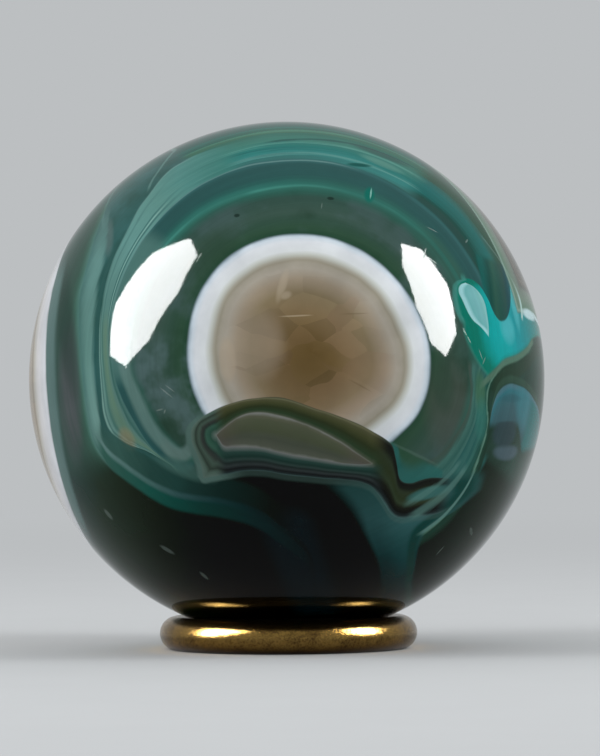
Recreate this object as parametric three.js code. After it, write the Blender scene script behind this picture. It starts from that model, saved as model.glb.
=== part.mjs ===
// A polished agate ball resting in a ring stand of round brass rod.
//
// The stand is a plain closed hoop. It carries the ball on one circle, where the ball touches the
// upper inner side of the rod, and nothing else holds it, so the ball turns in its seat.
// Units are millimetres, +Z is up, and -Y is the front. The origin is on the table, on the axis
// that the ball and the hoop share.

import * as THREE from 'three';

// Driving sizes
const ballDiameter = 76;
const hoopDiameter = 38; // outside of the hoop
const rodDiameter = 5; // the round rod that the hoop is bent from
const footWidth = 1.6; // flat lapped on the underside of the rod, which stands on the table
const seatClearance = 0.3; // between ball and rod, all along the circle where they meet

// Facets
const turnFacets = 72; // round the upright axis
const ballRows = 36; // from pole to pole of the ball
const rodFacets = 20; // round the rod

// Sizes that follow from the driving ones
const ballRadius = ballDiameter / 2;
const rodRadius = rodDiameter / 2;
const hoopRadius = hoopDiameter / 2 - rodRadius; // to the middle of the rod
const rodHeight = Math.sqrt(rodRadius ** 2 - (footWidth / 2) ** 2); // middle of the rod over the table
const centreGap = ballRadius + seatClearance + rodRadius; // from the ball's centre to the rod's middle
const ballHeight = rodHeight + Math.sqrt(centreGap ** 2 - hoopRadius ** 2);

// Rod section, as the outline that turns about the upright axis. It starts at the outer edge of
// the foot, goes up round the rod and comes down to the inner edge, and the foot closes it.
function rodSection() {
  const footAngle = Math.asin(footWidth / 2 / rodRadius); // half of the arc that the foot takes away
  const start = -Math.PI / 2 + footAngle;
  const sweep = 2 * (Math.PI - footAngle);
  const points = [];
  for (let i = 0; i <= rodFacets; i += 1) {
    const angle = start + (sweep * i) / rodFacets;
    const across = hoopRadius + rodRadius * Math.cos(angle);
    const up = i % rodFacets === 0 ? 0 : rodHeight + rodRadius * Math.sin(angle);
    points.push(new THREE.Vector2(across, up));
  }
  points.push(points[0].clone());
  return points;
}

// A turned shape stands along Y in three.js, so it is laid over onto Z.
function standOnZ(geometry) {
  return geometry.rotateX(Math.PI / 2);
}

function makeHoop() {
  const brass = new THREE.MeshStandardMaterial({ color: 0xb08a3c, metalness: 1.0, roughness: 0.32 });
  const hoop = new THREE.Mesh(standOnZ(new THREE.LatheGeometry(rodSection(), turnFacets)), brass);
  hoop.name = 'brass_ring';
  return hoop;
}

function makeBall() {
  const agate = new THREE.MeshStandardMaterial({ color: 0x24524a, metalness: 0.0, roughness: 0.08 });
  const ball = new THREE.Mesh(
    standOnZ(new THREE.SphereGeometry(ballRadius, turnFacets, ballRows)),
    agate,
  );
  ball.name = 'agate_sphere';
  ball.position.z = ballHeight;
  return ball;
}

const ballOnStand = new THREE.Group();
ballOnStand.name = 'agate_sphere_on_stand';
ballOnStand.add(makeHoop(), makeBall());

export default ballOnStand;
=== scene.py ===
"""A polished ball of banded green agate, resting in a hoop stand of round brass rod."""

import math

import bmesh
import bpy
from bpy.props import FloatProperty, FloatVectorProperty, IntProperty, PointerProperty
from mathutils import Euler, Matrix, Vector


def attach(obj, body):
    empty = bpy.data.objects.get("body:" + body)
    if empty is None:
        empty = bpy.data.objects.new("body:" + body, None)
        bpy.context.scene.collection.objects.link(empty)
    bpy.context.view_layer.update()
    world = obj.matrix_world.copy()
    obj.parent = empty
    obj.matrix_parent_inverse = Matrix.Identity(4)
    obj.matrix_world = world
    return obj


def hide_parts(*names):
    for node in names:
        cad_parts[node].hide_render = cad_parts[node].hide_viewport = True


bl_info = {
    "name": "Agate sphere on ring stand",
    "version": (1, 0, 0),
    "blender": (4, 5, 0),
    "location": "View3D > Sidebar > Agate",
    "description": "Builds a polished agate ball, its brass hoop stand and a plain studio",
    "category": "Object",
}

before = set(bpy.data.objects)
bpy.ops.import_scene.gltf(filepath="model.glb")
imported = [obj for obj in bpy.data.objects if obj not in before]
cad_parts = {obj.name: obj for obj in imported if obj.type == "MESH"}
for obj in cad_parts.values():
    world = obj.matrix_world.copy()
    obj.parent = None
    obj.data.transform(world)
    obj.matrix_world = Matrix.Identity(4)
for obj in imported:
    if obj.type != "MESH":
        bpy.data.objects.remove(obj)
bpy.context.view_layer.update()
MM = 0.001


def tint(red, green, blue):
    """A colour from its display values of 0 to 255, as the linear values that Blender uses."""
    linear = []
    for part in (red, green, blue):
        share = part / 255
        linear.append(share / 12.92 if share <= 0.04045 else ((share + 0.055) / 1.055) ** 2.4)
    return tuple(linear)


def length(name, description, default):
    return FloatProperty(name=name, description=description, default=default, unit="LENGTH", precision=5)


def angle(name, description, default):
    return FloatProperty(
        name=name, description=description, default=math.radians(default), subtype="ANGLE"
    )


def colour(name, description, red, green, blue):
    return FloatVectorProperty(
        name=name, description=description, default=tint(red, green, blue), subtype="COLOR", size=3
    )


class AgateBallSettings(bpy.types.PropertyGroup):
    """Sizes and colours of the stone."""

    radius: length("Radius", "Radius of the ball", 0.038)
    height: length("Height", "Middle of the ball over the table", 0.039683)
    eye_turn: angle("Eye turn", "Main eye's turn to the right of the front", 5.45)
    eye_tilt: angle("Eye tilt", "Main eye's rise over the ball's middle", 5.72)
    roughness: FloatProperty(name="Roughness", description="Roughness of the polish", default=0.045)
    divisions: IntProperty(name="Divisions", description="Times the ball's faces are divided", default=7)
    white: colour("White", "Milky quartz of the eye's ring", 209, 214, 219)
    cream: colour("Cream", "Cream grey just inside the ring", 158, 152, 140)
    honey: colour("Honey", "Brown core of the eye", 124, 111, 86)
    amber: colour("Amber", "Darkest brown of the core", 96, 78, 47)
    mist: colour("Mist", "Grey olive zone round the eye", 55, 78, 69)
    moss: colour("Moss", "Dark green next to the eye", 46, 74, 57)
    slate: colour("Slate", "Slate teal between the bands", 42, 80, 78)
    teal: colour("Teal", "Clear teal of the upper bands", 46, 114, 108)
    pale_teal: colour("Pale teal", "Palest of the teal bands", 97, 139, 134)
    deep_teal: colour("Deep teal", "Dark teal of the lower bands", 2, 58, 54)
    olive: colour("Olive", "Olive green", 58, 64, 43)
    night: colour("Night", "Nearly black green of the underside", 12, 19, 14)


class RingStandSettings(bpy.types.PropertyGroup):
    """Sizes and colours of the hoop."""

    hoop_radius: length("Hoop radius", "Radius of the hoop to the middle of its rod", 0.0165)
    rod_radius: length("Rod radius", "Radius of the round rod", 0.0025)
    foot_width: length("Foot width", "Width of the flat under the rod", 0.0016)
    steps: IntProperty(name="Steps round", description="Steps round the hoop", default=360)
    joint_angle: angle("Joint", "Place of the brazed joint, right of the front", 5.7)
    joint_depth: length("Joint depth", "Depth of the line at the joint", 0.00004)
    wobble: length("Wobble", "How far the bent rod strays from a true circle", 0.00005)
    brass: colour("Brass", "Rubbed brass", 146, 117, 62)
    tarnish: colour("Tarnish", "Aged brass", 70, 50, 26)


class StudioSettings(bpy.types.PropertyGroup):
    """Camera, lamps and floor."""

    lens: FloatProperty(name="Lens", description="Focal length on a 36 mm sensor", default=245.3)
    distance: length("Distance", "Camera's distance from the middle of the ball", 0.760)
    roll: angle("Roll", "How far the right side of the picture is raised", 0.4)
    lamp_power: FloatProperty(name="Lamp power", description="Power of each softbox in watts", default=2.0)
    sheen: FloatProperty(
        name="Sheen", description="Brightness of the softboxes in the polish", default=86.0
    )
    ambient: FloatProperty(name="Ambient", description="Strength of the light from all round", default=0.8)
    floor_colour: colour("Floor", "Pale floor", 190, 193, 195)
    backdrop: colour("Backdrop", "Pale surroundings", 188, 191, 193)


# Shader maths


class Socket:
    """A value in a node tree, so that shader maths reads as Python."""

    def __init__(self, graph, socket):
        self.graph = graph
        self.socket = socket

    def math(self, operation, *others):
        inputs = dict(enumerate((self, *others)))
        return self.graph.node("ShaderNodeMath", {"operation": operation}, inputs)

    def __add__(self, other):
        return self.math("ADD", other)

    __radd__ = __add__

    def __sub__(self, other):
        return self.math("SUBTRACT", other)

    def __rsub__(self, other):
        return self.graph.number(other).math("SUBTRACT", self)

    def __mul__(self, other):
        return self.math("MULTIPLY", other)

    __rmul__ = __mul__

    def __truediv__(self, other):
        return self.math("DIVIDE", other)

    def __rtruediv__(self, other):
        return self.graph.number(other).math("DIVIDE", self)

    def __neg__(self):
        return self.math("MULTIPLY", -1)

    def least(self, other):
        return self.math("MINIMUM", other)

    def most(self, other):
        return self.math("MAXIMUM", other)

    def size(self):
        return self.math("ABSOLUTE")

    def below(self, other):
        return self.math("LESS_THAN", other)


class Graph:
    """A material's or the world's node tree."""

    def __init__(self, tree):
        self.tree = tree
        tree.nodes.clear()

    def node(self, kind, settings=None, inputs=None, output=0):
        """Adds a node: first its settings, then the values and links of its inputs."""
        made = self.tree.nodes.new(kind)
        for name, value in (settings or {}).items():
            setattr(made, name, value)
        for place, value in (inputs or {}).items():
            if isinstance(value, Socket):
                self.tree.links.new(value.socket, made.inputs[place])
            elif made.inputs[place].type == "RGBA":
                made.inputs[place].default_value = (*tuple(value)[:3], 1)
            else:
                made.inputs[place].default_value = value
        return Socket(self, made.outputs[output]) if made.outputs else None

    def number(self, value):
        made = self.tree.nodes.new("ShaderNodeValue")
        made.outputs[0].default_value = value
        return Socket(self, made.outputs[0])

    def split(self, vector):
        node = self.tree.nodes.new("ShaderNodeSeparateXYZ")
        self.tree.links.new(vector.socket, node.inputs[0])
        return [Socket(self, node.outputs[i]) for i in range(3)]

    def vector(self, operation, first, second=None, output=0):
        inputs = {0: first} if second is None else {0: first, 1: second}
        return self.node("ShaderNodeVectorMath", {"operation": operation}, inputs, output)

    def place(self, across, up=0.0, out=0.0):
        return self.node("ShaderNodeCombineXYZ", None, {0: across, 1: up, 2: out})

    def noise(self, vector, scale, detail=2.0, roughness=0.5, output=0, fourth=0.0):
        """Noise in space. The fourth value moves on to other noise."""
        inputs = {"Vector": vector, "W": fourth, "Scale": scale, "Detail": detail, "Roughness": roughness}
        return self.node("ShaderNodeTexNoise", {"noise_dimensions": "4D"}, inputs, output)

    def line(self, value, points):
        """A smooth line through the given points, read at the value."""
        made = self.tree.nodes.new("ShaderNodeFloatCurve")
        made.mapping.use_clip = False
        made.mapping.extend = "HORIZONTAL"
        curve = made.mapping.curves[0]
        curve.points[0].location = points[0]
        curve.points[1].location = points[-1]
        for point in points[1:-1]:
            curve.points.new(*point)
        made.mapping.update()
        self.tree.links.new(value.socket, made.inputs["Value"])
        return Socket(self, made.outputs[0])

    def rise(self, value, start, end):
        """0 up to the start, 1 from the end on, and a soft change between them."""
        settings = {"interpolation_type": "SMOOTHSTEP", "clamp": False}
        inputs = {"Value": value, "From Min": start, "From Max": end}
        return self.node("ShaderNodeMapRange", settings, inputs)

    def edge(self, value, soft):
        """0 on the negative side and 1 on the positive side of a soft edge."""
        return self.rise(value, -soft, soft)

    def stripe(self, value, half, soft):
        """1 within half a width of nought, and 0 further off."""
        return self.rise(value.size(), half + soft, half)

    def window(self, value, start, end, soft):
        """1 between start and end."""
        middle = (start + end) / 2
        return self.stripe(value - middle, (end - start) / 2, soft)

    def ramp(self, value, stops):
        """A colour that changes along the value, given as (value, colour) stops."""
        low, high = stops[0][0], stops[-1][0]
        share = value.math("MULTIPLY_ADD", 1 / (high - low), -low / (high - low))
        made = self.tree.nodes.new("ShaderNodeValToRGB")
        elements = made.color_ramp.elements
        while len(elements) < len(stops):
            elements.new(1.0)
        for element, (place, shade) in zip(elements, stops):
            element.position = (place - low) / (high - low)
            element.color = (*tuple(shade)[:3], 1)
        self.tree.links.new(share.socket, made.inputs[0])
        return Socket(self, made.outputs[0])

    def mix(self, under, over, share, blend="MIX"):
        settings = {"data_type": "RGBA", "blend_type": blend}
        return self.node("ShaderNodeMix", settings, {0: share, 6: under, 7: over}, 2)

    def shade(self, under, factor):
        """A colour made darker or lighter by a factor."""
        grey = self.node("ShaderNodeCombineColor", None, {0: factor, 1: factor, 2: factor})
        return self.mix(under, grey, 1.0, "MULTIPLY")


def new_material(name):
    material = bpy.data.materials.new(name)
    material.use_nodes = True
    return material, Graph(material.node_tree)


# Guide lines of the agate, as (angle round the main eye in degrees, distance from its middle in
# millimetres along the surface). The angle runs anticlockwise from the right.

EYE_EDGE = [
    (0, 17.9), (30, 17.1), (60, 17.3), (90, 17.9), (110, 18.4), (130, 18.6), (150, 18.4),
    (165, 18.0), (180, 17.8), (207, 17.7), (260, 17.6), (312, 17.4), (334, 18.2), (360, 17.9),
]
BRIGHT_ARC = [
    (-60, 27.8), (-20, 27.2), (40, 27.2), (100, 27.3), (120, 28.0), (140, 28.3), (170, 28.4),
    (182, 28.3), (192, 27.2), (205, 26.2), (215, 24.9), (218, 24.2), (222, 22.5),
]
THIN_LINE = [
    (0, 32.5), (50, 32.2), (80, 33.1), (95, 33.2), (108, 33.6), (115, 33.6), (135, 32.9), (155, 32.05),
    (165, 31.7), (175, 31.0), (190, 29.7), (200, 28.6), (210, 27.6), (218, 26.4), (226, 25.5),
]
SWEEP_END = [
    (60, 40.2), (95, 41.0), (110, 41.8), (118, 42.4), (122, 42.3), (125, 41.5), (130, 39.8),
    (135, 38.7), (140, 37.4), (145, 36.6), (150, 36.0), (158, 34.9), (166, 33.9), (177.7, 33.0),
    (186.4, 32.9), (196.8, 33.4), (200, 33.0), (203, 31.8), (206, 30.3), (209, 28.8), (213, 27.6),
    (218, 26.6),
]
PALE_BAND_NEAR = [
    (137, 47.0), (141, 43.8), (143.2, 42.2), (149.6, 39.0), (158.5, 37.0), (166.3, 35.6), (177.5, 34.7),
    (186, 34.5), (194.4, 34.8), (201, 35.6), (205, 34.9), (209.5, 33.6), (215.4, 31.7), (222, 29.6),
]
PALE_BAND_FAR = [
    (137, 48.5), (141.7, 45.7), (146, 43.8), (155.8, 41.0), (161, 40.2), (169, 38.4), (177.2, 37.2),
    (185.3, 36.7), (193.3, 36.9), (201, 37.3), (205, 36.8), (209.5, 35.5), (215.4, 33.4), (222, 31.3),
]
BAND_START = [
    (-60, 22.5), (-50, 23.5), (-41, 25.4), (-36, 26.2), (-28, 26.6), (-22, 26.9), (-17, 26.8),
    (-11, 26.3), (-5, 25.7), (5, 26.0),
]
RIGHT_LINE = [
    (-60, 34.2), (-50, 34.6), (-43.5, 34.4), (-35.4, 33.7), (-26.6, 32.4), (-22.6, 31.95), (-17.5, 30.8),
    (-12.6, 29.7), (-8, 29.6), (-5, 30.5), (-1.6, 32.6), (0.5, 36.2), (4.1, 43.2),
]
UPPER_TEAL = [
    (10, 34.6), (20, 35.6), (30, 37.0), (40, 38.0), (50, 38.0), (60, 37.4), (70, 37.2), (90, 37.5),
]

# Lines of the lower half and of the flame, as (across, up) in millimetres from the middle of
# the eye. Names that end in AT give (up, across) instead.

LOW_EDGE = [
    (-36, -10.0), (-33.5, -13.6), (-32.4, -15.1), (-29.7, -17.0), (-26.9, -18.8), (-24.9, -20.0),
    (-21.4, -21.4), (-18, -22.1), (-14, -22.5), (-10.9, -23.1), (-9, -23.7), (-6.5, -25.0),
    (-4.9, -26.4), (-2.2, -28.6), (0, -30.9), (1.2, -34.0), (2.0, -40.0),
]
BLOCK_TOP = [
    (-18.5, -9.8), (-17.2, -9.5), (-16.0, -9.0), (-14.4, -8.2), (-12.5, -7.35), (-10.8, -6.8),
    (-9.2, -6.45), (-7.6, -6.3), (-6.2, -6.2), (-4.4, -6.3), (-3.1, -6.6), (-1.9, -7.0), (-0.6, -7.5),
    (0.7, -8.0), (2.3, -8.5), (4.3, -9.2), (6.6, -10.1), (9.1, -11.3), (11.4, -12.7), (12.1, -13.4),
    (12.5, -14.6), (13.0, -16.2), (13.4, -17.8), (14.0, -18.7), (15.7, -19.2), (17.1, -18.9),
    (18.8, -18.6), (21.4, -18.7), (24, -19.2),
]
BLOCK_FOOT = [
    (-18.2, -16.0), (-16.7, -17.3), (-16.1, -18.1), (-14.6, -17.9), (-12.2, -17.4), (-9.7, -16.9),
    (-7.9, -16.85), (-6.2, -17.0), (-4.7, -17.3), (-1.6, -17.7), (1.6, -18.0), (4.9, -18.3),
    (6.8, -18.6), (8.0, -18.95), (9.0, -19.4), (10.3, -20.7), (11.6, -22.4), (13.0, -24.2),
    (14.7, -25.1), (16.6, -25.1), (18.1, -25.0), (19.9, -25.0), (21.8, -24.8), (23.5, -24.2),
    (25.2, -23.2), (26.5, -22.0),
]
BLOCK_SIDE_AT = [
    (-18.6, -16.0), (-17.7, -16.0), (-15.9, -16.3), (-14.4, -16.8), (-12.8, -17.4), (-11.8, -17.5),
    (-10.8, -17.4), (-9.8, -16.8), (-9.3, -16.2), (-8.6, -15.4),
]
CRESCENT_TOP = [
    (-13.7, -11.6), (-13.4, -11.3), (-12.6, -10.6), (-11.0, -9.4), (-9.7, -8.7), (-8.3, -8.35),
    (-7.0, -8.35), (-5.0, -8.75), (-3.3, -9.2), (-1.7, -9.85), (0, -10.5), (2.0, -11.5), (3.3, -12.2),
    (4.7, -13.0), (6.2, -14.0), (7.6, -15.0), (9.0, -15.95),
]
CRESCENT_FOOT = [
    (-13.7, -11.6), (-13.3, -12.3), (-12.6, -13.25), (-11.2, -13.3), (-7.7, -13.4), (-5.1, -14.0),
    (-2.6, -14.6), (0, -15.0), (2.7, -15.5), (5.8, -15.95), (7.5, -16.05), (9.0, -15.95),
]
WASH_LEFT_AT = [
    (-48, 17.0), (-41, 14.8), (-34.2, 12.8), (-28.6, 10.1), (-22.7, 7.2), (-19.4, 3.9), (-17, 0),
]
WASH_RIGHT_AT = [
    (-48, 24.0), (-40.8, 20.8), (-36, 19.4), (-32.2, 18.6), (-29.5, 18.5), (-27.6, 19.0), (-26, 20.8),
    (-24.9, 23.0), (-23.4, 25.2), (-21.5, 27.5),
]
FLAME_NEAR_AT = [
    (-2.7, 28.8), (-0.84, 26.95), (2.4, 24.8), (5.9, 23.8), (6.9, 23.3), (10.7, 23.2), (11.7, 23.85),
    (12.4, 25.2),
]
FLAME_FOOT = [
    (27, -4.0), (28.8, -2.7), (30.3, -1.7), (31.6, -0.8), (32.9, 0.1), (36.8, 1.3), (40.5, 3.0),
    (44.1, 5.4), (51, 6.9),
]
FLAME_TOP = [
    (22.6, 10.0), (23.2, 10.9), (23.85, 11.9), (25.5, 12.7), (28, 12.4), (29.9, 10.3), (31.1, 7.95),
    (31.9, 7.0), (32.6, 6.6), (33.5, 6.7), (34.4, 7.2), (35.2, 8.1), (36.0, 9.6), (37.0, 12.5),
    (37.6, 17.0),
]
ALMOND_LOW_AT = [
    (3.6, 29.5), (4.8, 28.0), (6.1, 26.0), (9.2, 24.3), (10.2, 23.9), (11.2, 24.2), (11.9, 25.4),
]
ALMOND_HIGH_AT = [
    (3.6, 29.5), (5.2, 29.6), (6.6, 29.5), (9.6, 29.0), (11.0, 27.9), (11.6, 26.9), (11.9, 25.6),
]
DOME_TOP = [
    (29.7, -12.5), (29.9, -10.5), (30.1, -8.8), (30.6, -6.8), (31.7, -4.9), (34.0, -3.7), (37.0, -3.75),
    (40.7, -4.6), (44.5, -6.25), (48.6, -8.8), (50.7, -11.9), (51.2, -15.6),
]
CAP_EDGE_AT = [
    (8.4, 39.9), (11.9, 40.2), (14.6, 39.2), (16.6, 37.7), (19.0, 35.6), (23.5, 31.5),
]

# Wisps at the top: distance from the eye, half width, lean, and colour

TOP_WISPS = (
    (35.2, 0.12, 0.010, tint(92, 140, 134)),
    (37.0, 0.18, -0.014, tint(22, 84, 82)),
    (38.8, 0.14, 0.018, tint(86, 146, 136)),
    (42.2, 0.25, -0.010, tint(16, 90, 82)),
    (44.0, 0.22, 0.012, tint(70, 122, 100)),
    (46.0, 0.30, -0.008, tint(0, 100, 88)),
)

# Caps of the other eyes: direction of the middle as seen from the main eye, and radius in
# millimetres along the surface.

LEFT_CAP = ((-0.891, 0.453, -0.028), 30.1)
RIGHT_CAP = ((0.800, 0.581, 0.148), 43.8)
SMALL_CAP = ((-0.18, 0.72, -0.62), 9.0)

# Lower edge of the right cap: (towards the back, up) on a ball of radius 1

RIGHT_CAP_FOOT = [(-0.5, 0.2), (-0.15, 0.185), (0.05, 0.13), (0.25, -0.05), (0.42, -0.35), (0.6, -0.85)]

# Small chips and scratches: middle (across, up), half size (long, wide) and lean in degrees

MARKS = (
    ((-16.0, 15.0), (0.7, 0.07), 60),
    ((-16.7, 14.6), (0.6, 0.06), 62),
    ((-21.2, -5.2), (1.1, 0.09), -40),
    ((-20.6, -4.6), (0.8, 0.07), -38),
    ((-22.4, -7.7), (0.5, 0.12), 10),
    ((-21.6, -8.0), (0.3, 0.12), 70),
    ((18.4, 15.9), (0.9, 0.1), 70),
    ((19.4, 15.0), (0.8, 0.08), -30),
    ((20.7, 20.6), (0.9, 0.08), -20),
    ((27.7, 20.1), (0.5, 0.15), 50),
    ((24.4, 3.9), (0.6, 0.12), -55),
    ((25.2, 2.7), (0.5, 0.12), -60),
    ((27.5, 0.6), (0.8, 0.1), -65),
    ((28.2, -0.3), (0.6, 0.12), 60),
    ((31.2, -29.9), (1.1, 0.3), -55),
    ((24.5, -32.7), (0.9, 0.14), 55),
    ((-23.2, -31.7), (1.2, 0.35), -30),
    ((-34.6, -26.2), (1.0, 0.4), -50),
    ((-17.1, -36.5), (0.9, 0.3), -50),
    ((2.6, 23.0), (0.5, 0.08), 80),
)


class EyeMap:
    """Places on the ball as seen from the main eye, and the stone's streaks and clouds there."""

    def __init__(self, graph, settings):
        self.graph = graph
        where = graph.node("ShaderNodeTexCoord", output=3)
        inputs = {
            "Vector": where,
            "Location": (0, 0, settings.height),
            "Rotation": (-settings.eye_tilt, 0, settings.eye_turn),
            "Scale": (settings.radius,) * 3,
        }
        self.spot = graph.node("ShaderNodeMapping", {"vector_type": "TEXTURE"}, inputs)
        self.ball_radius = settings.radius / MM
        sway = graph.noise(self.spot, 4.5, 2.0, 0.5, 1)
        sway = graph.vector("SUBTRACT", sway, (0.5, 0.5, 0.5))
        sway = graph.vector("MULTIPLY", sway, (0.012, 0.012, 0.012))
        x, y, z = graph.split(graph.vector("ADD", self.spot, sway))
        self.back, self.above = y, z
        side = (x * x + z * z).math("SQRT").most(0.0001)
        right, high = x / side, z / side
        self.r = side.math("ARCTAN2", -y) * self.ball_radius
        self.turn = z.math("ARCTAN2", x) * (180 / math.pi)
        self.left_turn = self.turn + self.turn.below(0.0) * 360
        self.upper_turn = self.turn + self.turn.below(-90.0) * 360
        self.across = right * self.r
        self.up = high * self.r
        self.flat = graph.place(self.across, self.up, 1.0)
        self.streaks = graph.noise(self.spot, 1.7, 3.0, 0.6, 0, self.r * 0.55) - 0.5
        self.fibres = graph.noise(self.spot, 1.7, 4.0, 0.7, 0, self.r * 1.5) - 0.5
        self.clouds = graph.noise(self.spot, 7.0, 3.0, 0.55) - 0.5
        self.haze = graph.noise(self.spot, 3.2, 2.0, 0.5) - 0.5

        # Blocky facets of the brown cores
        taller = graph.node("ShaderNodeMapping", None, {"Vector": self.spot, "Scale": (1.0, 1.0, 1.7)})
        inputs = {"Vector": taller, "W": self.haze * 0.5, "Scale": 5.5}
        cells = graph.node("ShaderNodeTexVoronoi", {"voronoi_dimensions": "4D"}, inputs, 1)
        parts = graph.node("ShaderNodeSeparateColor", None, {0: cells})
        self.tone = parts - 0.5
        self.hue = Socket(graph, parts.socket.node.outputs[1]) - 0.5

    def patch(self, middle, half, lean=0.0, soft=0.4):
        """1 inside an ellipse and 0 outside, with a soft edge."""
        along = Vector((math.cos(math.radians(lean)), math.sin(math.radians(lean)))) / half[0]
        over = Vector((-math.sin(math.radians(lean)), math.cos(math.radians(lean)))) / half[1]
        first = self.graph.vector("DOT_PRODUCT", self.flat, (*along, -along.dot(middle)), 1)
        second = self.graph.vector("DOT_PRODUCT", self.flat, (*over, -over.dot(middle)), 1)
        distance = second.math("MULTIPLY_ADD", second, first * first)
        return self.graph.rise(distance, (1 + soft) ** 2, (1 - soft) ** 2)


def cap_depth(graph, m, cap):
    """Millimetres inside the edge of a round cap, negative outside."""
    direction, reach = cap
    facing = graph.vector("DOT_PRODUCT", m.spot, tuple(Vector(direction).normalized()), output=1)
    return reach - facing.math("ARCCOSINE") * m.ball_radius + m.haze * 0.9


def eye_core(graph, m, colours, depth):
    """Brown core of an eye, with blocky facets and a soft cloudiness."""
    core = graph.rise(depth, 4.5, 7.5)
    shaded = graph.shade(colours, 1 + m.tone * 0.24 * core + m.clouds * 0.25)
    return graph.mix(shaded, tint(142, 114, 94), graph.rise(m.hue, 0.0, 0.4) * core * 0.15)


def dark_stone_and_shade(graph, m):
    """Olive and nearly black green of the underside, which changes from left to right and is darkest under
    the middle: partly the stone's own colour and partly painted shade.
    """
    return graph.ramp(
        m.across + m.clouds * 10,
        [
            (-46, tint(26, 50, 46)), (-40, tint(28, 50, 42)), (-35, tint(30, 46, 34)),
            (-30, tint(26, 38, 26)),
            (-25, tint(20, 28, 18)), (-19, tint(12, 17, 11)), (-10, tint(8, 12, 8)),
            (2, tint(6, 11, 8)),
            (14, tint(6, 16, 11)), (24, tint(11, 24, 15)), (31, tint(17, 31, 20)),
            (37, tint(25, 39, 28)),
            (43, tint(18, 42, 34)), (52, tint(14, 36, 30)),
        ],
    )


def paint_ground(graph, settings, m, outside):
    """Bands that follow the outlines of the other eyes, all round the ball."""
    way = outside + m.haze * 11 + m.clouds * 1.6 + m.streaks * 1.2
    bands = graph.ramp(
        way,
        [
            (-1.0, tint(84, 113, 110)), (0.4, tint(66, 98, 94)), (1.6, tint(40, 74, 64)),
            (3.6, settings.slate),
            (4.4, tint(52, 96, 90)), (4.7, settings.pale_teal), (5.0, tint(50, 104, 96)),
            (6.2, settings.teal),
            (7.6, tint(24, 88, 80)), (8.8, settings.moss), (11.0, settings.mist),
            (11.8, tint(60, 98, 88)),
            (12.1, tint(36, 72, 62)), (13.6, settings.deep_teal), (15.8, tint(12, 66, 60)),
            (16.6, tint(52, 92, 80)), (17.0, tint(30, 52, 38)), (19.5, settings.olive),
            (22.0, tint(30, 62, 50)), (24.0, tint(14, 60, 54)), (26.0, tint(34, 76, 66)),
            (28.0, tint(16, 56, 48)), (33.0, tint(20, 50, 42)),
        ],
    )
    fine = graph.node("ShaderNodeMath", {"operation": "SINE"}, {0: way * 7.5 + m.clouds * 6})
    lines = graph.rise(fine, 0.6, 1.0) * graph.rise(m.haze, -0.08, 0.12)
    return graph.mix(bands, graph.shade(bands, 1.5), lines * 0.5)


def paint_lower(graph, m, paint, dark):
    """Lower half, darker towards the bottom, partly the stone's own dark green and partly painted shade:
    olive at the sides, nearly black in the middle, a blue haze at the left.
    """
    # Painted shade over the stone's own dark green: darker towards the bottom
    paint = graph.mix(paint, dark, graph.rise(m.up, -9, -15) * graph.rise(m.r + m.clouds * 14, 68, 52))
    haze = graph.stripe(m.across + 0.5 + (m.up + 34) * 0.35, 2.0, 4.5) * graph.window(m.up, -44, -25, 4)
    paint = graph.mix(paint, tint(5, 26, 30), haze * 0.8)
    left_haze = m.patch((-37.6, -31.0), (2.4, 7.5), 38, 0.9) * graph.rise(m.clouds, -0.15, 0.1)
    paint = graph.mix(paint, tint(10, 56, 54), left_haze * 0.85)
    rim = m.patch((-43.4, -27.0), (1.1, 17), -2, 0.7)
    return graph.mix(paint, tint(62, 84, 84), rim * 0.5)


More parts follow.
